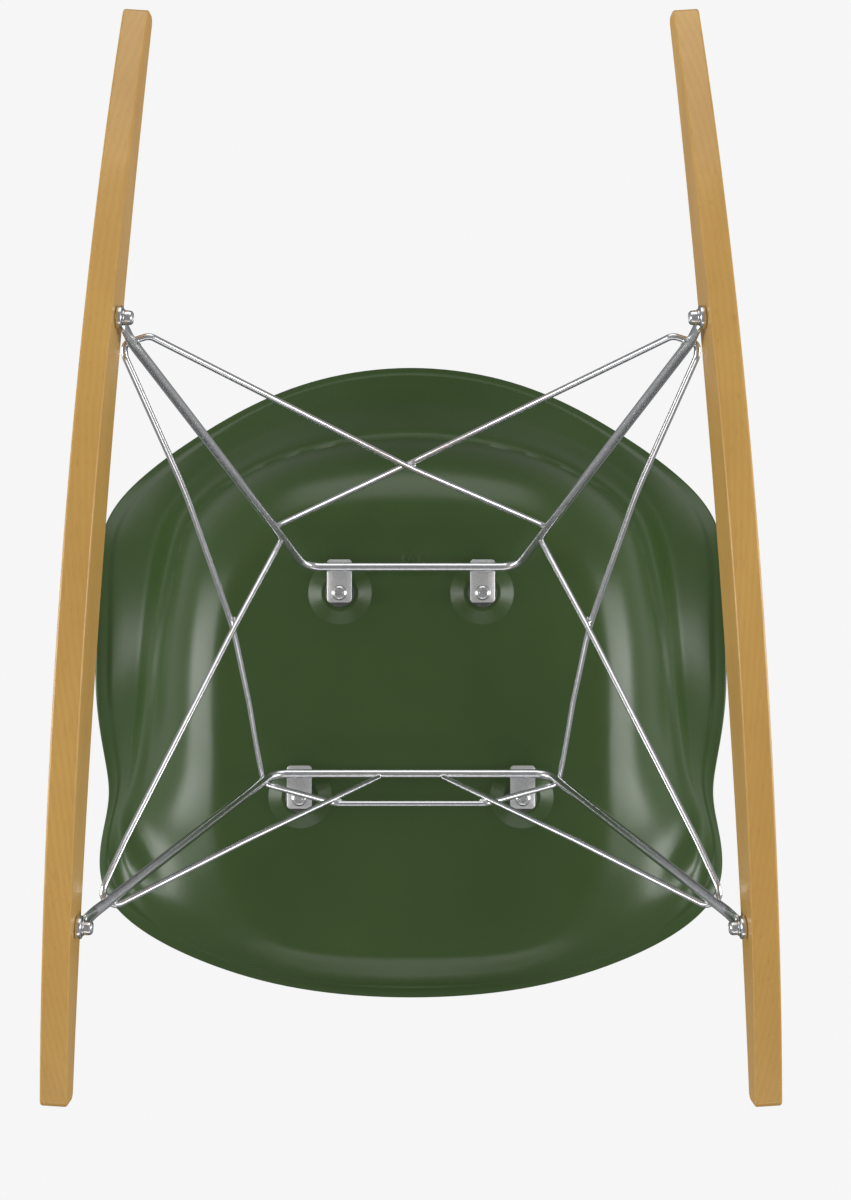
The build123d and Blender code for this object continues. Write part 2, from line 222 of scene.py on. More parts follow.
def shell_plastic():
    """Satin forest-green moulded plastic: spark-eroded grain, faint flow and handling marks."""
    s = Shader("shell_plastic", Specular_IOR_Level=0.42)
    where = s.coordinates()
    clouds = s.noise(where, 9, 4, 0.55)
    flow = s.noise(s.coordinates(scale=(1, 0.35, 1)), 55, 5, 0.6, 0.4)
    grain = s.noise(where, 1900, 2, 0.6)
    fine_grain = s.noise(where, 4200, 1)
    colour = s.ramp(clouds, (0.3, (0.0255, 0.054, 0.0110)), (0.7, (0.0310, 0.0625, 0.0140)))
    colour = s.mix(s.span(flow, 0.0, 0.14), colour, (0.045, 0.076, 0.025))
    speckle = s.ramp(s.noise(where, 2600, 1), (0.62, 0.0), (0.74, 0.35))
    colour = s.mix(speckle, colour, (0.052, 0.082, 0.034))
    rubbed = s.noise(s.coordinates(scale=(1, 0.08, 1), turn=0.6), 130, 4, 0.7)
    scuffs = s.ramp(rubbed, (0.60, 0.0), (0.68, 1.0))
    roughness = s.calc("ADD", s.span(clouds, 0.26, 0.33), s.calc("MULTIPLY", scuffs, 0.05))
    normal = s.bump((flow, 0.00010), (grain, 0.000035), (fine_grain, 0.00001))
    return s.finish(colour, roughness, normal)


def rocker_wood(name, turn, offset):
    """Light close-grained hardwood under clear lacquer, its grain along the rocker."""
    s = Shader(name, Coat_Weight=0.22, Coat_Roughness=0.16, Specular_IOR_Level=0.45)
    along = s.coordinates(turn=turn, location=offset)
    sway = s.noise(s.coordinates(scale=(1, 0.25, 1), turn=turn, location=offset), 14, 3)
    pushed = s.add("VectorMath", {"operation": "MULTIPLY_ADD"})
    s.tree.links.new(sway, pushed.inputs[0])
    pushed.inputs[1].default_value = (0.012, 0.0, 0.012)
    s.tree.links.new(along, pushed.inputs[2])
    rings = s.add(
        "TexWave",
        {"wave_type": "RINGS", "rings_direction": "Y", "wave_profile": "SIN"},
        Vector=pushed.outputs[0],
        Scale=75,
        Distortion=1.2,
        Detail=2,
        Detail_Scale=0.6,
    ).outputs["Fac"]
    fibres = s.noise(s.coordinates(scale=(1, 0.02, 1), turn=turn, location=offset), 1500, 3, 0.6)
    flecks = s.noise(s.coordinates(scale=(1, 0.06, 1), turn=turn, location=offset), 750, 2, 0.5)
    figure = s.noise(s.coordinates(scale=(0.5, 1, 0.5), turn=turn, location=offset), 42, 3, 0.5, 0.5)
    tone = s.noise(s.coordinates(scale=(1, 0.3, 1), turn=turn, location=offset), 18, 3)
    colour = s.ramp(tone, (0.3, (0.435, 0.242, 0.050)), (0.7, (0.535, 0.315, 0.076)))
    colour = s.mix(s.span(rings, 0.0, 0.22), colour, (0.36, 0.182, 0.035))
    colour = s.mix(s.span(fibres, 0.0, 0.30), colour, (0.58, 0.35, 0.105))
    colour = s.mix(s.span(figure, 0.0, 0.26), colour, (0.37, 0.185, 0.042))
    colour = s.mix(s.ramp(flecks, (0.62, 0.0), (0.72, 0.30)), colour, (0.30, 0.135, 0.035))
    roughness = s.calc("ADD", s.span(fibres, 0.30, 0.42), s.calc("MULTIPLY", rings, 0.04))
    normal = s.bump((fibres, 0.00006), (flecks, 0.00005), (rings, 0.00003))
    return s.finish(colour, roughness, normal)


def bright_plating():
    """Bright nickel-chrome plating over drawn wire: mild waviness, fine drawing lines and dust."""
    s = Shader("bright_plating", Metallic=1.0)
    where = s.coordinates()
    waves = s.noise(where, 45, 2)
    haze = s.noise(where, 340, 4, 0.6)
    pits = s.ramp(s.noise(where, 1500, 1), (0.66, 0.0), (0.76, 1.0))
    colour = s.ramp(haze, (0.3, (0.60, 0.61, 0.63)), (0.7, (0.70, 0.71, 0.725)))
    colour = s.mix(s.calc("MULTIPLY", pits, 0.12), colour, (0.40, 0.40, 0.41))
    roughness = s.calc("ADD", s.span(haze, 0.17, 0.24), s.calc("MULTIPLY", pits, 0.03))
    normal = s.bump((waves, 0.00003), (haze, 0.000001))
    return s.finish(colour, roughness, normal)


def weld_plating():
    """Plated weld metal: solidified ripples and a duller, rougher skin than the wire's."""
    s = Shader("weld_plating", Metallic=1.0)
    where = s.coordinates()
    lumps = s.noise(where, 900, 3, 0.6)
    skin = s.noise(where, 3000, 2)
    colour = s.ramp(lumps, (0.3, (0.42, 0.43, 0.44)), (0.7, (0.64, 0.65, 0.66)))
    normal = s.bump((lumps, 0.0003), (skin, 0.00004))
    return s.finish(colour, s.span(lumps, 0.18, 0.34), normal)


def plate_steel():
    """Zinc-plated pressed plate with rolling lines along its length and small scratches."""
    s = Shader("plate_steel", Metallic=1.0)
    where = s.coordinates()
    rolled = s.noise(s.coordinates(scale=(1, 0.03, 1)), 2600, 3, 0.6)
    crystals = s.noise(where, 520, 3, 0.6)
    scored = s.noise(s.coordinates(scale=(0.05, 1, 1), turn=0.4), 2400, 2)
    scratches = s.ramp(scored, (0.66, 0.0), (0.72, 1.0))
    colour = s.ramp(crystals, (0.3, (0.62, 0.63, 0.64)), (0.7, (0.74, 0.75, 0.76)))
    colour = s.mix(s.calc("MULTIPLY", scratches, 0.35), colour, (0.76, 0.76, 0.77))
    roughness = s.calc("ADD", s.span(rolled, 0.34, 0.48), s.calc("MULTIPLY", scratches, -0.06))
    normal = s.bump((rolled, 0.00003), (crystals, 0.00004), (scratches, 0.00002))
    return s.finish(colour, roughness, normal)


def screw_steel():
    """Plated screws and washers: satin sheen with tool marks and small dents."""
    s = Shader("screw_steel", Metallic=1.0)
    where = s.coordinates()
    dents = s.noise(where, 480, 3, 0.6)
    marks = s.noise(where, 2600, 2, 0.7)
    colour = s.ramp(dents, (0.3, (0.56, 0.565, 0.58)), (0.7, (0.70, 0.705, 0.72)))
    normal = s.bump((dents, 0.0001), (marks, 0.00002))
    return s.finish(colour, s.span(marks, 0.16, 0.30), normal)


def pad_rubber():
    """Grey-black moulded rubber with a dusty, slightly pitted skin."""
    s = Shader("pad_rubber", Specular_IOR_Level=0.4)
    where = s.coordinates()
    dust = s.noise(where, 260, 4, 0.6)
    pits = s.noise(where, 1800, 2)
    colour = s.ramp(dust, (0.35, (0.030, 0.032, 0.030)), (0.75, (0.075, 0.080, 0.075)))
    normal = s.bump((dust, 0.00008), (pits, 0.00005))
    return s.finish(colour, s.span(dust, 0.50, 0.68), normal)


def insert_brass():
    """Turned brass with fine circular tool lines and slight tarnish."""
    s = Shader("insert_brass", Metallic=1.0)
    where = s.coordinates()
    tarnish = s.noise(where, 200, 4, 0.6)
    lines = s.noise(s.coordinates(scale=(0.1, 0.1, 1)), 3200, 2)
    colour = s.ramp(tarnish, (0.3, (0.52, 0.36, 0.14)), (0.7, (0.72, 0.55, 0.26)))
    normal = s.bump((lines, 0.00004), (tarnish, 0.00003))
    return s.finish(colour, s.span(lines, 0.22, 0.36), normal)


# ------------------------------------------------------------------- meshes
class Shape:
    """Points in millimetres and faces between them, gathered for one mesh."""

    def __init__(self):
        self.points = []
        self.faces = []

    def add_points(self, points):
        first = len(self.points)
        self.points.extend(tuple(float(x) for x in point) for point in points)
        return list(range(first, len(self.points)))

    def bridge(self, ring, following):
        """Quads between two closed rings of equally many points."""
        count = len(ring)
        for i in range(count):
            j = (i + 1) % count
            self.faces.append((ring[i], ring[j], following[j], following[i]))

    def add_rings(self, rings, closed=False, caps=True):
        """Tube through rings of points, closed on itself or capped at both ends."""
        rings = [self.add_points(ring) for ring in rings]
        for ring, following in zip(rings, rings[1:]):
            self.bridge(ring, following)
        if closed:
            self.bridge(rings[-1], rings[0])
        elif caps:
            self.cap(rings[0])
            self.cap(rings[-1])
        return rings

    def cap(self, ring):
        """Fan of triangles from a ring to its middle."""
        middle = self.add_points([np.mean([self.points[i] for i in ring], axis=0)])[0]
        for i, j in zip(ring, ring[1:] + ring[:1]):
            self.faces.append((i, j, middle))


def make_piece(name, shape, material, replaces=(), sharp_degrees=32.0):
    """The shape as a smooth-shaded mesh object that rides with the chair."""
    mesh = bpy.data.meshes.new(name)
    mesh.from_pydata([tuple(MM * x for x in point) for point in shape.points], [], shape.faces)
    work = bmesh.new()
    work.from_mesh(mesh)
    bmesh.ops.remove_doubles(work, verts=work.verts, dist=0.002 * MM)
    bmesh.ops.recalc_face_normals(work, faces=work.faces)
    work.to_mesh(mesh)
    work.free()
    mesh.shade_smooth()
    mesh.set_sharp_from_angle(angle=math.radians(sharp_degrees))
    piece = bpy.data.objects.new(name, mesh)
    bpy.context.scene.collection.objects.link(piece)
    piece.data.materials.append(material)
    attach(piece, BODY)
    if replaces:
        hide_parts(*replaces)
    return piece


def box_mm(node):
    """Lowest and highest corner of a CAD node, in millimetres."""
    low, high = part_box(node)
    return np.array(low) / MM, np.array(high) / MM


def centre_mm(node):
    low, high = box_mm(node)
    return (low + high) / 2


def circle(count, radius=1.0):
    """Points (x, y) evenly round a circle."""
    return [
        (radius * math.cos(2 * math.pi * i / count), radius * math.sin(2 * math.pi * i / count))
        for i in range(count)
    ]


def unit(vector):
    vector = np.asarray(vector, dtype=float)
    return vector / np.linalg.norm(vector)


def path_reach(path):
    """Distance along a path to each of its points."""
    return np.concatenate([[0], np.cumsum(np.linalg.norm(np.diff(path, axis=0), axis=1))])


def points_at(stations, reach, path):
    """Points of a path at distances along it."""
    return np.array([np.interp(stations, reach, path[:, axis]) for axis in range(3)]).T


# --------------------------------------------------------------- seat shell
# The wall follows the CAD surface: cubic curves from the edge of the flat
# floor to the crease, along its ledge, to the bend and to the rim, and closed
# cubic splines round the shell through their control points. The rim turns a
# little more than the CAD's, and a step marks the lip.
WALL_CURVES = 4
AROUND_STEPS = 10  # sections from one guide row to the next
CURVE_SAMPLES = 40  # points along each curve of a section
WALL_ROWS = 96  # points up the finished wall
ROW_CROWDING = 1.35  # above 1, the rows lie closer together towards the rim
LIP_STEPS = 9  # points round the rim's edge
LIP_STEP = 1.2
LIP_WIDTH = 12.0
LIP_RISE = 4.0  # width of the step behind the lip
LIP_FADE = (17.0, 50.0)  # distances from the rim between which the step fades
EASE_START = -12.0
EASE_END = 30.0
FLOOR_MARGIN = 1.5
BOSS_POINTS = 64
GATE_POINTS = 32


def ramp(value, low, high):
    """Smooth step from 0 at low to 1 at high."""
    t = min(max((value - low) / (high - low), 0.0), 1.0)
    return t * t * (3 - 2 * t)


def floor_point(toward):
    """Edge of the flat seat floor in the direction of a guide point."""
    across = abs(toward[0]) / FLOOR_HALF_WIDTH
    along = abs(toward[1] - FLOOR_CENTRE_Y) / FLOOR_HALF_DEPTH
    reach = (across**FLOOR_POWER + along**FLOOR_POWER) ** (-1 / FLOOR_POWER)
    return np.array([toward[0] * reach, FLOOR_CENTRE_Y + (toward[1] - FLOOR_CENTRE_Y) * reach, FLOOR_Z])


def leaning(outward, degrees):
    """Unit vector that points outward and up by an angle."""
    angle = math.radians(degrees)
    return math.cos(angle) * outward + np.array([0, 0, math.sin(angle)])


def wall_section(row):
    """Control points of the four curves of one section of the underside.

    Angles are degrees above level: the first number holds at the front, and
    the others come in up the walls and under the arms. Handles are in
    millimetres or shares of a curve's run.
    """
    crease, bend, rim = (np.array(point, dtype=float) for point in GUIDE_ROWS[row])
    floor = floor_point(crease)
    outward = unit((rim - floor) * (1, 1, 0))
    wall = ramp(row, 2.5, 6)
    arm = ramp(row, 4.5, 7) * (1 - ramp(row, 9.5, 12))
    bucket_run = np.linalg.norm(crease - floor)
    flare_run = np.linalg.norm(bend - crease)
    rim_run = np.linalg.norm(rim - bend)
    crease_way = leaning(outward, 18 + 15 * wall)
    bend_way = leaning(outward, 34 + 29 * wall - 31 * arm)
    rim_way = leaning(outward, 26 + 34 * wall - 76 * arm)
    ledge = (1 + 2 * wall) * crease_way
    low, high = crease - ledge, crease + ledge
    return [
        floor,
        floor + (0.50 - 0.05 * wall) * bucket_run * outward,
        low - (0.30 * bucket_run * (1 - wall) + 12 * wall) * crease_way,
        low,
        low,
        low + 2 / 3 * ledge,
        high - 2 / 3 * ledge,
        high,
        high,
        high + (0.33 * flare_run * (1 - wall) + 12 * wall) * crease_way,
        bend - (0.33 * flare_run * (1 - arm) + 16 * arm) * bend_way,
        bend,
        bend,
        bend + (0.33 * rim_run * (1 - arm) + 6 * arm) * bend_way,
        rim - (14 - 5 * arm) * rim_way,
        rim,
    ]


def bezier_weights(t):
    return np.array([(1 - t) ** 3, 3 * t * (1 - t) ** 2, 3 * t**2 * (1 - t), t**3])


def loop_sections():
    """Control points of many sections all round the shell."""
    half = [np.array(wall_section(row)) for row in range(len(GUIDE_ROWS))]
    loop = np.array(half + [section * (-1, 1, 1) for section in half[-2:0:-1]])
    count = len(loop)
    identity = np.eye(count)
    matrix = 4 * identity + np.roll(identity, 1, axis=1) + np.roll(identity, -1, axis=1)
    steps = 3 * (np.roll(loop, -1, axis=0) - np.roll(loop, 1, axis=0))
    slopes = np.linalg.solve(matrix, steps.reshape(count, -1)).reshape(loop.shape)
    following = np.roll(loop, -1, axis=0)
    following_slopes = np.roll(slopes, -1, axis=0)
    sections = []
    for i in range(count):
        columns = [loop[i], loop[i] + slopes[i] / 3, following[i] - following_slopes[i] / 3, following[i]]
        for step in range(AROUND_STEPS):
            weights = bezier_weights(step / AROUND_STEPS)
            sections.append(sum(w * column for w, column in zip(weights, columns)))
    return np.array(sections)


def sampled_wall(sections):
    """Dense points up the wall, shape (sections, samples, 3)."""
    t = np.linspace(0, 1, CURVE_SAMPLES + 1)
    weights = bezier_weights(t)
    curves = [np.einsum("ks,nkx->nsx", weights, sections[:, 4 * c : 4 * c + 4]) for c in range(WALL_CURVES)]
    return np.concatenate([curves[0]] + [curve[:, 1:] for curve in curves[1:]], axis=1)


def wall_normals(points):
    """Unit normals of the underside that point up through the wall."""
    around = np.roll(points, -1, axis=0) - np.roll(points, 1, axis=0)
    upward = np.gradient(points, axis=1)
    normals = np.cross(around, upward)
    normals /= np.linalg.norm(normals, axis=2, keepdims=True)
    normals *= np.sign(normals[:, 5:6, 2:3])
    normals[:, 0] = (0, 0, 1)
    return normals


def lip_profile(from_rim):
    """How far the underside is drawn in, at a distance from the rim: a step behind a thicker lip."""
    return LIP_STEP * ramp(from_rim, LIP_WIDTH, LIP_WIDTH + LIP_RISE) * (1 - ramp(from_rim, *LIP_FADE))


def eased_start(points):
    """The wall with its rise out of the floor eased in, so that no edge shows where it begins."""
    ease = np.array([ramp(s, EASE_START, EASE_END) for s in path_reach(points)])
    eased = points.copy()
    eased[:, 2] = FLOOR_Z + (points[:, 2] - FLOOR_Z) * ease
    return eased


def shell_profile(points, normals):
    """One closed-up section: under the wall, round the lip, and down the upper side."""
    reach = path_reach(points)
    lip = SHELL_THICKNESS / 2
    end = reach[-1] - lip
    spread = np.linspace(0, 1, WALL_ROWS)
    stations = end * (1 - (1 - spread) ** ROW_CROWDING)
    wall = points_at(stations, reach, points)
    through = points_at(stations, reach, normals)
    through /= np.linalg.norm(through, axis=1, keepdims=True)
    draw_in = np.array([lip_profile(reach[-1] - s) for s in stations])[:, None]
    outward = unit(points[-1] - points[-3])
    middle = wall[-1] + lip * through[-1]
    turns = np.linspace(0, math.pi, LIP_STEPS + 2)[1:-1]
    rounded = [middle + lip * (math.sin(a) * outward - math.cos(a) * through[-1]) for a in turns]
    upper = wall[::-1] + SHELL_THICKNESS * through[::-1]
    return np.vstack([wall + draw_in * through, rounded, upper])


def fill_flat(shape, outline, holes):
    """Level floor between an outline and round holes, given as point indices.

    A narrow border comes first, then triangles. A triangle with all three
    corners on one hole covers that hole, so it is left out.
    """
    edge = np.array([shape.points[i] for i in outline])
    inward = edge.mean(axis=0) - edge
    inward /= np.linalg.norm(inward, axis=1, keepdims=True)
    border = shape.add_points(edge + FLOOR_MARGIN * inward)
    shape.bridge(outline, border)
    loops = [border] + holes
    indices = [i for loop in loops for i in loop]
    flat = [Vector(shape.points[i][:2]) for i in indices]
    edges = []
    start = 0
    for loop in loops:
        edges += [(start + i, start + (i + 1) % len(loop)) for i in range(len(loop))]
        start += len(loop)
    inside_only, tolerance = 1, 1e-6
    found = delaunay_2d_cdt(flat, edges, [list(range(len(border)))], inside_only, tolerance)
    triangles, originals = found[2], found[3]
    owners = [owner for owner, loop in enumerate(loops) for _ in loop]
    for triangle in triangles:
        corners = [originals[i][0] for i in triangle]
        touched = {owners[corner] for corner in corners}
        if len(touched) > 1 or touched == {0}:
            shape.faces.append(tuple(indices[corner] for corner in corners))


def sunk_rings(shape, centre, profile, count):
    """Rings of a round feature from its edge inward, ending in a cap. Returns the outer ring."""
    rings = [
        shape.add_points([(centre[0] + x, centre[1] + y, z) for x, y in circle(count, radius)])
        for radius, z in profile
    ]
    for ring, following in zip(rings, rings[1:]):
        shape.bridge(ring, following)
    shape.cap(rings[-1])
    return rings[0]


def seat_shell():
    points = np.array([eased_start(section) for section in sampled_wall(loop_sections())])
    normals = wall_normals(points)
    shape = Shape()
    columns = [shape.add_points(shell_profile(p, n)) for p, n in zip(points, normals)]
    for column, following in zip(columns, columns[1:] + columns[:1]):
        for k in range(len(column) - 1):
            shape.faces.append((column[k], column[k + 1], following[k + 1], following[k]))
    boss_z = box_mm("rear_left_pad")[1][2]
    boss = [
        (BOSS_TOP_RADIUS, FLOOR_Z),
        (BOSS_TOP_RADIUS - 0.5, FLOOR_Z - 0.05),
        (BOSS_TOP_RADIUS - 1.1, FLOOR_Z - 0.3),
        (BOSS_BOTTOM_RADIUS + 0.9, boss_z + 0.35),
        (BOSS_BOTTOM_RADIUS + 0.4, boss_z + 0.1),
        (BOSS_BOTTOM_RADIUS - 0.3, boss_z),
        (BORE_RADIUS + 0.5, boss_z),
        (BORE_RADIUS, boss_z + 0.5),
        (BORE_RADIUS, boss_z + BORE_DEPTH),
    ]
    gate = [
        (GATE_RADIUS, FLOOR_Z),
        (GATE_RADIUS - 0.4, FLOOR_Z + 0.15),
        (GATE_RADIUS - 1.2, FLOOR_Z + 0.5),
        (3.0, FLOOR_Z + 0.75),
        (2.2, FLOOR_Z + 0.65),
        (1.6, FLOOR_Z + 0.1),
        (1.1, FLOOR_Z),
    ]
    holes = [sunk_rings(shape, centre_mm(f"{foot}_pad"), boss, BOSS_POINTS) for foot in FEET]
    holes.append(sunk_rings(shape, GATE_PLACE, gate, GATE_POINTS))
    fill_flat(shape, [column[0] for column in columns], holes)
    fill_flat(shape, [column[-1] for column in columns], [])
    return make_piece("seat_shell_moulding", shape, shell_plastic(), ["seat_shell"], 26)


# ---------------------------------------------------------- rods and wires
ROUND_POINTS = 28
ARC_STEP = math.radians(4)
RUN_STEP = 12.0
KNOT_RADIUS = 200.0
ROD_START = 3.4  # from the edge of the eye's hole to the rod's tip
PRESSED_LENGTH = 36.0
PRESSED_STEPS = 25
PRESSED_FROM = 34.0  # distances from the tip between which the round rod turns flat
PRESSED_TO = 5.0
PRESSED_BREADTH = 1.45
TIP_BREADTHS = [0.55, 0.85]  # the first rings of a pressed end, as shares of the full breadth


def bent_path(corners, radii):
    """Points along straight runs joined by arcs of the given radii."""
    corners = [np.array(corner, dtype=float) for corner in corners]
    path = [corners[0]]
    for before, corner, after, radius in zip(corners, corners[1:], corners[2:], radii):
        back, onward = unit(before - corner), unit(after - corner)
        opening = math.acos(float(np.clip(back @ onward, -1, 1)))
        turn = math.pi - opening
        tangent = radius / math.tan(opening / 2)
        centre = corner + unit(back + onward) * radius / math.sin(opening / 2)
        start = corner + back * tangent - centre
        finish = corner + onward * tangent - centre
        steps = max(2, math.ceil(turn / ARC_STEP))
        extend_run(path, centre + start)
        for i in range(1, steps + 1):
            share = i / steps
            arc = (math.sin((1 - share) * turn) * start + math.sin(share * turn) * finish) / math.sin(turn)
            path.append(centre + arc)
    extend_run(path, corners[-1])
    return np.array(path)


def extend_run(path, target):
    """Adds a straight run to a path, in steps short enough for clean quads."""
    start = path[-1]
    steps = max(1, math.ceil(np.linalg.norm(target - start) / RUN_STEP))
    for i in range(1, steps + 1):
        path.append(start + (target - start) * i / steps)


def mirrored(corners):
    return [(-x, y, z) for x, y, z in reversed(corners)]


def tangents(path):
    ways = np.gradient(path, axis=0)
    return ways / np.linalg.norm(ways, axis=1, keepdims=True)


def tube_rings(path, radius, shaping=None):
    """Rings of points round a path. shaping(i, offset) may change a ring's offsets."""
    ways = tangents(path)
    side = unit(np.cross(ways[0], (0.31, 0.17, 0.93)))
    rings = []
    for i, (place, way) in enumerate(zip(path, ways)):
        side = unit(side - way * (side @ way))
        other = np.cross(way, side)
        ring = []
        for x, y in circle(ROUND_POINTS, radius):
            offset = x * side + y * other
            ring.append(place + (shaping(i, offset) if shaping else offset))
        rings.append(ring)
    return rings


def domed_path(path, radius):
    """The path with close steps at its ends, and how much each ring there is shrunk to a rounded cut."""
    ways = tangents(path)
    steps = [0.0, 0.12, 0.35, 0.65, 1.0]
    crown = radius * 0.45
    starts = [path[0] + ways[0] * crown * s for s in steps]
    ends = [path[-1] - ways[-1] * crown * s for s in reversed(steps)]
    shrink = [math.sqrt(max(0.0, 1 - (1 - s) ** 2)) * 0.5 + 0.5 if s else 0.45 for s in steps]
    inner = path[1:-1]
    return np.array(starts + list(inner) + ends), shrink + [1.0] * len(inner) + shrink[::-1]


def wire_shape(path, radius):
    """A wire with rounded-off cut ends."""
    path, shrink = domed_path(path, radius)
    shape = Shape()
    shape.add_rings(tube_rings(path, radius, lambda i, offset: offset * shrink[i]))
    return shape


def foot_normal(foot):
    """Unit vector from a rocker's inner face towards the middle of the chair."""
    side = SIDES[foot.split("_")[1]]
    return np.array([-side * math.cos(TOE_IN), -math.sin(TOE_IN), 0.0])


def rod_path(end):
    """Centre line of a leg rod from the left eyelet to the right one."""
    lug = centre_mm(f"{end}_left_eyelet")
    way = unit(np.array(ROD_ANKLES[end]) - lug)
    half = [tuple(lug + way * (EYELET_HOLE_RADIUS + ROD_START)), ROD_ANKLES[end], ROD_CORNERS[end]]
    return bent_path(half + mirrored(half), ROD_RADII)


def fine_ends(path, length, count):
    """The path with its first and last stretch divided evenly into short steps."""
    reach = path_reach(path)
    total = reach[-1]
    inside = reach[(reach > length + 1) & (reach < total - length - 1)]
    ends = np.linspace(0, length, count)
    stations = np.concatenate([ends, inside, total - ends[::-1]])
    return points_at(stations, reach, path), stations, total


def leg_rod(end, material):
    """Bent round rod whose two ends are pressed flat into the eyelets."""
    path, stations, total = fine_ends(rod_path(end), PRESSED_LENGTH, PRESSED_STEPS)
    ways = tangents(path)
    thin = EYELET_THICKNESS / (2 * ROD_RADIUS)

    def pressed(i, offset):
        foot = f"{end}_left" if stations[i] < total / 2 else f"{end}_right"
        from_tip = min(stations[i], total - stations[i])
        flat = 1 - ramp(from_tip, PRESSED_TO, PRESSED_FROM)
        nearest = min(i, len(path) - 1 - i)
        tip = TIP_BREADTHS[nearest] if nearest < len(TIP_BREADTHS) else 1.0
        normal = foot_normal(foot)
        normal = unit(normal - ways[i] * (normal @ ways[i]))
        across = np.cross(ways[i], normal)
        depth = (offset @ normal) * (1 + (thin - 1) * flat)
        breadth = (offset @ across) * (1 + (PRESSED_BREADTH - 1) * flat) * tip
        return depth * normal + breadth * across

    shape = Shape()
    shape.add_rings(tube_rings(path, ROD_RADIUS, pressed))
    return make_piece(f"{end}_leg_rod_pressed", shape, material, [f"{end}_leg_rod"], 40)


def cradle_corners():
    start = mirrored([CRADLE_END]) + [LOWER_KNOT]
    return start + CRADLE_SIDE + mirrored(CRADLE_SIDE) + [UPPER_KNOT, CRADLE_END]


def wire_paths():
    """Centre lines of the three wires."""
    radii = [KNOT_RADIUS] + CRADLE_RADII + CRADLE_RADII[::-1] + [KNOT_RADIUS]
    paths = {"cradle_wire": bent_path(cradle_corners(), radii)}
    for name, side in SIDES.items():
        paths[f"brace_wire_{name}"] = bent_path([(side * x, y, z) for x, y, z in BRACE_SIDE], BRACE_RADII)
    return paths


# -------------------------------------------------------------- weld beads
WELD_GAP = 0.7  # surfaces closer than this are welded
WELD_SPACING = 22.0
BEAD_SIZE = (5.2, 2.0)  # half length and radius
KNOT_BEAD_SIZE = (4.2, 2.0)
BEAD_STEPS = 14
BEAD_POINTS = 20


def near_passes(first, second, limit):
    """Places where two paths come within a limit: (point between them, one way, the other way)."""
    gaps = np.linalg.norm(first[:, None] - second[None], axis=2)
    found = []
    while gaps.min() < limit:
        i, j = np.unravel_index(gaps.argmin(), gaps.shape)
        found.append(((first[i] + second[j]) / 2, tangents(first)[i], tangents(second)[j]))
        near = np.linalg.norm(first - first[i], axis=1) < WELD_SPACING
        gaps[near] = np.inf
    return found


def dense(path, step=0.5):
    """The same path with points at short, even steps."""
    reach = path_reach(path)
    stations = np.linspace(0, reach[-1], math.ceil(reach[-1] / step))
    return points_at(stations, reach, path)


def bead_rings(place, way, size):
    """Rings of a lumpy elongated bead of weld metal."""
    length, radius = size
    side = unit(np.cross(way, (0.3, 0.5, 0.81)))
    other = np.cross(way, side)
    phase = [rng.uniform(0, 6.28) for _ in range(3)]
    rings = []
    for i in range(1, BEAD_STEPS):
        along = -math.cos(math.pi * i / BEAD_STEPS)
        swell = math.sqrt(1 - along**2)
        ring = []
        for x, y in circle(BEAD_POINTS):
            angle = math.atan2(y, x)
            lump = 1 + 0.05 * math.sin(2 * angle + phase[0]) + 0.05 * math.sin(7 * along + phase[1])
            lump += 0.03 * math.sin(3 * angle + 4 * along + phase[2])
            ring.append(place + way * along * length + radius * swell * lump * (x * side + y * other))
        rings.append(ring)
    return rings


def weld_beads(paths, material):
    """A bead at every place where two rods or wires touch."""
    names = sorted(paths)
    shape = Shape()
    for a, first_name in enumerate(names):
        for second_name in names[a + 1 :]:
            first, second = dense(paths[first_name]), dense(paths[second_name])
            radii = [ROD_RADIUS if "rod" in name else WIRE_RADIUS for name in (first_name, second_name)]
            for place, way, other_way in near_passes(first, second, sum(radii) + WELD_GAP):
                both = unit(way + other_way * math.copysign(1, way @ other_way))
                shape.add_rings(bead_rings(place, both, BEAD_SIZE))
    knot = (np.array(LOWER_KNOT) + np.array(UPPER_KNOT)) / 2
    shape.add_rings(bead_rings(knot, np.array([1.0, 0.0, 0.0]), KNOT_BEAD_SIZE))
    return make_piece("weld_beads", shape, material)


# --------------------------------------------------------- turned hardware
RING_POINTS = 48
EYELET_EDGE = 1.1
WASHER_RADII = (3.2, 6.0)
WASHER_EDGE = 0.35
MOUNT_HOLE_RADIUS = 4.2
PLATE_CORNER_RADIUS = 3.0
PLATE_EDGE = 0.7
PAD_EDGE = 0.8
ROCKER_SCREW = dict(
    head_radius=5.3, head_height=6.0, lip=3.0, socket=5.0, shank_radius=3.0, shank_length=19.2
)
MOUNT_SCREW = dict(
    head_radius=7.0, head_height=4.6, lip=0.9, socket=5.0, shank_radius=4.0, shank_length=17.0
)
CROWN_STEPS = 8


def placed(profile_rings, origin, axis):
    """Outlines, each at a height, as rings in space round an axis from an origin."""
    axis = unit(axis)
    across = unit(np.cross((0.0, 1.0, 0.0), axis))
    along = np.cross(axis, across)
    rings = []
    for outline, height in profile_rings:
        rings.append([origin + x * across + y * along + height * axis for x, y in outline])
    return rings


def rounded_rectangle(width, length, radius, steps=6):
    """Points round a rectangle with rounded corners, centred on the origin."""
    outline = []
    for quarter, (sx, sy) in enumerate([(1, 1), (-1, 1), (-1, -1), (1, -1)]):
        centre = (sx * (width / 2 - radius), sy * (length / 2 - radius))
        for i in range(steps + 1):
            angle = math.pi / 2 * (quarter + i / steps)
            outline.append((centre[0] + radius * math.cos(angle), centre[1] + radius * math.sin(angle)))
    return outline


def hexagon(count, apothem):
    """Points round a hexagon at the same angles as a circle's points."""
    outline = []
    for x, y in circle(count):
        angle = math.atan2(y, x) % (math.pi / 3) - math.pi / 6
        reach = apothem / math.cos(angle)
        outline.append((x * reach, y * reach))
    return outline


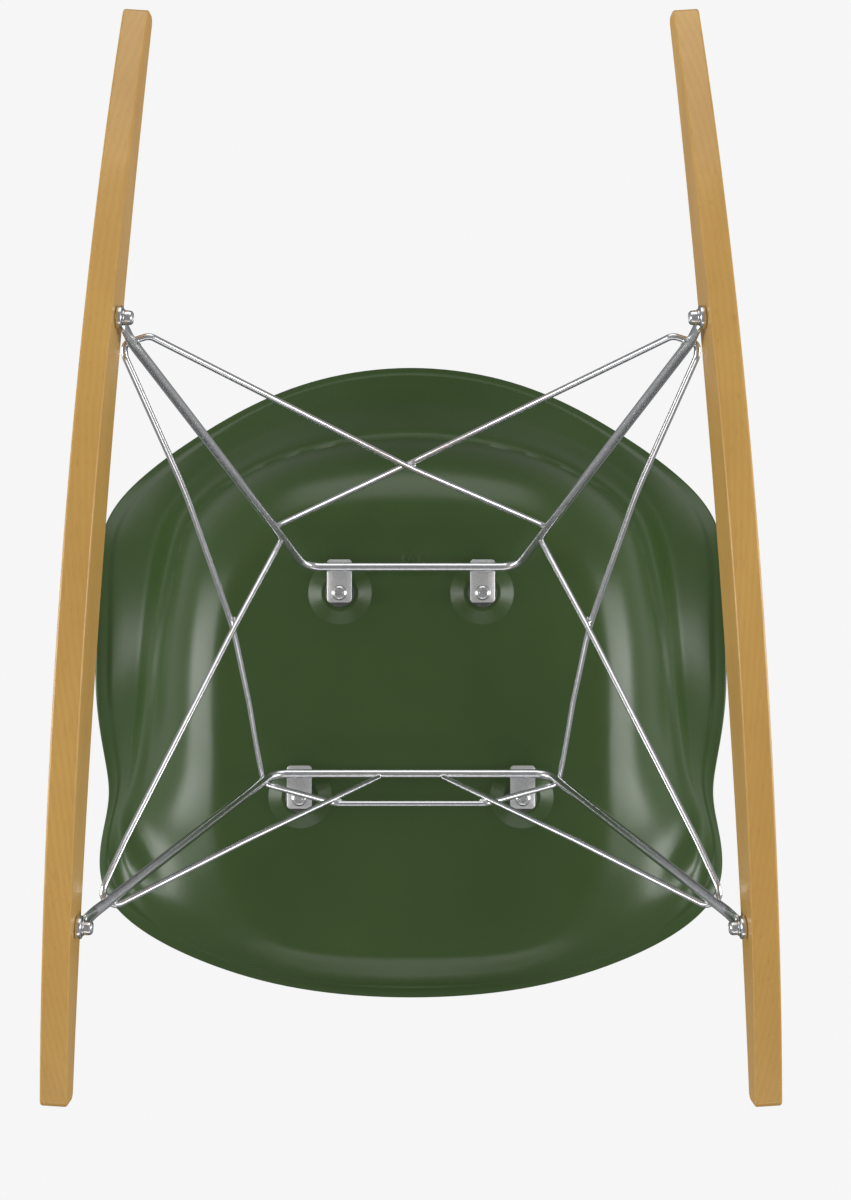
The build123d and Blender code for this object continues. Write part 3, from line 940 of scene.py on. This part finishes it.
def ring_shape(shape, inner, outer, thickness, edge, origin, axis):
    """A flat ring with rounded edges, added to a shape."""
    profile = []
    for radius, way in ((outer, -1), (inner, 1)):
        corners = [(0, edge), (0.3 * edge, 0.3 * edge), (edge, 0)]
        rise = [(radius + way * inset, height) for inset, height in corners[::-1]]
        fall = [(radius + way * inset, thickness - height) for inset, height in corners]
        profile += rise + fall if way < 0 else (rise + fall)[::-1]
    rings = [(circle(RING_POINTS, radius), height) for radius, height in profile]
    shape.add_rings(placed(rings, origin, axis), closed=True)


def screw_rings(head_radius, head_height, lip, socket, shank_radius, shank_length):
    """Outlines and heights of a domed socket screw, from the shank's tip to the socket's floor."""
    crown = socket / 2 / math.cos(math.pi / 6) + 0.35
    rings = [
        (circle(RING_POINTS, shank_radius * 0.8), -shank_length),
        (circle(RING_POINTS, shank_radius), -shank_length + shank_radius * 0.2),
        (circle(RING_POINTS, shank_radius), 0.0),
        (circle(RING_POINTS, head_radius - 0.3), 0.0),
        (circle(RING_POINTS, head_radius), 0.3),
        (circle(RING_POINTS, head_radius), lip),
    ]
    for i in range(1, CROWN_STEPS + 1):
        angle = math.pi / 2 * i / CROWN_STEPS
        radius = crown + (head_radius - crown) * math.cos(angle)
        rings.append((circle(RING_POINTS, radius), lip + (head_height - lip) * math.sin(angle)))
    rings.append((hexagon(RING_POINTS, socket / 2 + 0.15), head_height - 0.15))
    rings.append((hexagon(RING_POINTS, socket / 2), head_height - 0.4))
    rings.append((hexagon(RING_POINTS, socket / 2), head_height * 0.4))
    return rings


def rocker_screws(material):
    shape = Shape()
    for foot in FEET:
        normal = foot_normal(foot)
        seat = centre_mm(f"{foot}_eyelet") + normal * (EYELET_THICKNESS / 2 + WASHER_THICKNESS)
        shape.add_rings(placed(screw_rings(**ROCKER_SCREW), seat, normal))
    return make_piece("rocker_screws_domed", shape, material, ["rocker_screws"])


def mount_screws(material):
    shape = Shape()
    for foot in FEET:
        seat = centre_mm(f"{foot}_pad")
        seat[2] = box_mm(f"{foot}_mount_plate")[0][2]
        shape.add_rings(placed(screw_rings(**MOUNT_SCREW), seat, (0, 0, -1)))
    return make_piece("mount_screws_domed", shape, material, ["mount_screws"])


def eyelet(foot, material):
    """The pressed eye at a rod's end, its edges rounded by the press."""
    shape = Shape()
    normal = foot_normal(foot)
    face = centre_mm(f"{foot}_eyelet") - normal * EYELET_THICKNESS / 2
    ring_shape(shape, EYELET_HOLE_RADIUS, EYELET_RADIUS, EYELET_THICKNESS, EYELET_EDGE, face, normal)
    return make_piece(f"{foot}_eye", shape, material, [f"{foot}_eyelet"], 50)


def washers(material):
    shape = Shape()
    for foot in FEET:
        normal = foot_normal(foot)
        face = centre_mm(f"{foot}_eyelet") + normal * EYELET_THICKNESS / 2
        ring_shape(shape, *WASHER_RADII, WASHER_THICKNESS, WASHER_EDGE, face, normal)
    return make_piece("rocker_washers_rounded", shape, material, ["rocker_washers"], 50)


def mount_plate(foot, material):
    """Small welded plate with rounded corners, rolled-over edges and a screw hole."""
    low, high = box_mm(f"{foot}_mount_plate")
    middle = (low + high) / 2
    width, length, thickness = high - low
    edge = PLATE_EDGE
    hole = centre_mm(f"{foot}_pad")[:2] - middle[:2]
    outer = rounded_rectangle(width, length, PLATE_CORNER_RADIUS)
    ways = [unit(np.array(point) - hole) for point in outer]
    inner = [tuple(hole + MOUNT_HOLE_RADIUS * way) for way in ways]
    inset = rounded_rectangle(width - 2 * edge, length - 2 * edge, PLATE_CORNER_RADIUS - edge)
    halfway = rounded_rectangle(
        width - 0.6 * edge, length - 0.6 * edge, PLATE_CORNER_RADIUS - 0.3 * edge
    )
    rings = [
        (inner, 0.0),
        (inset, 0.0),
        (halfway, 0.3 * edge),
        (outer, edge),
        (outer, thickness - edge),
        (halfway, thickness - 0.3 * edge),
        (inset, thickness),
        (inner, thickness),
    ]
    shape = Shape()
    origin = np.array([middle[0], middle[1], low[2]])
    shape.add_rings(placed(rings, origin, (0, 0, 1)), closed=True)
    return make_piece(f"{foot}_plate", shape, material, [f"{foot}_mount_plate"], 40)


def mount_pad(foot, material):
    """Rubber pad between plate and shell, with a soft rounded edge."""
    low, high = box_mm(f"{foot}_pad")
    middle = (low + high) / 2
    shape = Shape()
    origin = np.array([middle[0], middle[1], low[2]])
    radius, thickness = (high[0] - low[0]) / 2, high[2] - low[2]
    ring_shape(shape, MOUNT_HOLE_RADIUS, radius, thickness, PAD_EDGE, origin, (0, 0, 1))
    return make_piece(f"{foot}_rubber_pad", shape, material, [f"{foot}_pad"], 50)


def dress_cad_nodes():
    """Better materials for the CAD nodes whose shape already is right."""
    for name, side in SIDES.items():
        wood = rocker_wood(f"rocker_wood_{name}", side * TOE_IN, (0.11 * side, 0.3 * side, 0.16))
        dress(f"rocker_{name}", wood)
    dress("rocker_sleeves", insert_brass())
    dress("shell_inserts", bpy.data.materials["insert_brass"])


def dress(node, material):
    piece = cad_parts[node]
    piece.data.materials.clear()
    piece.data.materials.append(material)


# --------------------------------------------------------------- the stage
# Lengths from here on are in metres, and lights are in watts.
FLOOR_HALF = 6.0
LIGHTS_AIM = (0, -0.1, 0.4)
CAMERA_PLACE = (0, -0.0395, -1.29)
CAMERA_LENS = 55.29
CAMERA_SHIFT = 0.0121


def floor_material():
    """Pale floor that is clear from below, so that the underside can be seen."""
    s = Shader("floor_paint", Roughness=0.7)
    mottle = s.noise(s.coordinates(), 6, 3)
    s.feed(s.principled, {"Base_Color": s.ramp(mottle, (0.3, 0.80), (0.7, 0.83))})
    clear = s.add("BsdfTransparent")
    below = s.add("NewGeometry").outputs["Backfacing"]
    both = s.add("MixShader")
    output = s.tree.nodes["Material Output"]
    s.tree.links.new(below, both.inputs[0])
    s.tree.links.new(s.principled.outputs[0], both.inputs[1])
    s.tree.links.new(clear.outputs[0], both.inputs[2])
    s.tree.links.new(both.outputs[0], output.inputs["Surface"])
    return s.material


def make_floor():
    mesh = bpy.data.meshes.new("stage_floor")
    corners = [(x * FLOOR_HALF, y * FLOOR_HALF, 0) for x, y in ((-1, -1), (1, -1), (1, 1), (-1, 1))]
    mesh.from_pydata(corners, [], [(0, 1, 2, 3)])
    floor = bpy.data.objects.new("stage_floor", mesh)
    bpy.context.scene.collection.objects.link(floor)
    mesh.materials.append(floor_material())
    floor.visible_shadow = False
    floor.visible_glossy = False
    floor.visible_diffuse = False
    floor.visible_transmission = False


def softbox(name, place, width, height, power, mirrored_by_gloss=True):
    """Large soft studio light that the camera doesn't see, and glossy surfaces only if asked."""
    lamp = bpy.data.lights.new(name, "AREA")
    lamp.shape = "RECTANGLE"
    lamp.size, lamp.size_y = width, height
    lamp.energy = power
    holder = bpy.data.objects.new(name, lamp)
    holder.location = place
    holder.rotation_euler = (Vector(LIGHTS_AIM) - Vector(place)).to_track_quat("-Z", "Y").to_euler()
    holder.visible_camera = False
    holder.visible_glossy = mirrored_by_gloss
    bpy.context.scene.collection.objects.link(holder)


def light_studio():
    for name, side in SIDES.items():
        softbox(f"low_{name}", (side * 1.85, -0.1, -0.42), 0.7, 1.9, 27)
        softbox(f"high_{name}", (side * 1.8, -0.4, 2.0), 1.2, 1.6, 30, False)
    softbox("low_front", (0, -1.9, -0.9), 1.8, 0.5, 6)
    softbox("low_rear", (0, 1.9, -0.4), 1.8, 1.6, 17)
    softbox("top", (0, 0.3, 2.6), 1.8, 1.8, 40, False)


def world_light():
    """Pale surroundings: bright to the eye, softer as a light.

    In reflections they are dim to the front and rear, and brighter to the sides and below.
    """
    world = bpy.data.worlds.new("studio")
    bpy.context.scene.world = world
    world.use_nodes = True
    nodes, links = world.node_tree.nodes, world.node_tree.links

    def add(kind, settings=None, **inputs):
        node = nodes.new("ShaderNode" + kind)
        for name, value in (settings or {}).items():
            setattr(node, name, value)
        for name, value in inputs.items():
            if isinstance(value, bpy.types.NodeSocket):
                links.new(value, node.inputs[name])
            else:
                node.inputs[name].default_value = value
        return node

    def sum_of(*terms):
        """Weighted sum of values: (value, weight) pairs after a constant."""
        total = terms[0]
        for value, weight in terms[1:]:
            node = add("Math", {"operation": "MULTIPLY_ADD"})
            links.new(value, node.inputs[0])
            node.inputs[1].default_value = weight
            if isinstance(total, bpy.types.NodeSocket):
                links.new(total, node.inputs[2])
            else:
                node.inputs[2].default_value = total
            total = node.outputs[0]
        return total

    way = add("SeparateXYZ", Vector=add("TexCoord").outputs["Generated"])
    sideways = add("Math", {"operation": "ABSOLUTE"})
    links.new(way.outputs["X"], sideways.inputs[0])
    below = add("Math", {"operation": "MAXIMUM"})
    downward = sum_of(0.0, (way.outputs["Z"], -1.0))
    links.new(downward, below.inputs[0])
    below.inputs[1].default_value = 0.0
    reflected_grey = sum_of(0.10, (sideways.outputs[0], 0.34), (below.outputs[0], 0.18))
    ambient = add("Background", Color=(0.84, 0.83, 0.80, 1), Strength=0.60)
    reflected = add("Background", Color=(1, 1, 1, 1), Strength=reflected_grey)
    seen = add("Background", Color=(0.922, 0.922, 0.922, 1), Strength=1.0)
    path = add("LightPath")
    previous = ambient
    for ray, shade in (("Is Glossy Ray", reflected), ("Is Camera Ray", seen)):
        either = add("MixShader")
        links.new(path.outputs[ray], either.inputs[0])
        links.new(previous.outputs[0], either.inputs[1])
        links.new(shade.outputs[0], either.inputs[2])
        previous = either
    links.new(previous.outputs[0], nodes["World Output"].inputs["Surface"])


def place_camera():
    """Camera straight below the chair, looking up, with the chair's front at the foot of the picture."""
    data = bpy.data.cameras.new("camera")
    data.sensor_width = 36.0
    data.lens = CAMERA_LENS
    data.shift_x = CAMERA_SHIFT
    data.clip_start, data.clip_end = 0.05, 50
    camera = bpy.data.objects.new("camera", data)
    camera.location = CAMERA_PLACE
    camera.rotation_euler = (0, math.pi, 0)
    bpy.context.scene.collection.objects.link(camera)
    bpy.context.scene.camera = camera
    bpy.context.scene.view_settings.view_transform = "Standard"


# ------------------------------------------------------------------- build
seat_shell()
plating = bright_plating()
steel = plate_steel()
screws = screw_steel()
rubber = pad_rubber()
paths = wire_paths()
for wire, path in paths.items():
    make_piece(f"{wire}_round", wire_shape(path, WIRE_RADIUS), plating, [wire], 40)
for end in ENDS:
    leg_rod(end, plating)
    paths[f"{end}_leg_rod"] = rod_path(end)
weld_beads(paths, weld_plating())
rocker_screws(screws)
mount_screws(screws)
washers(screws)
for foot in FEET:
    eyelet(foot, plating)
    mount_plate(foot, steel)
    mount_pad(foot, rubber)
dress_cad_nodes()
make_floor()
light_studio()
world_light()
place_camera()
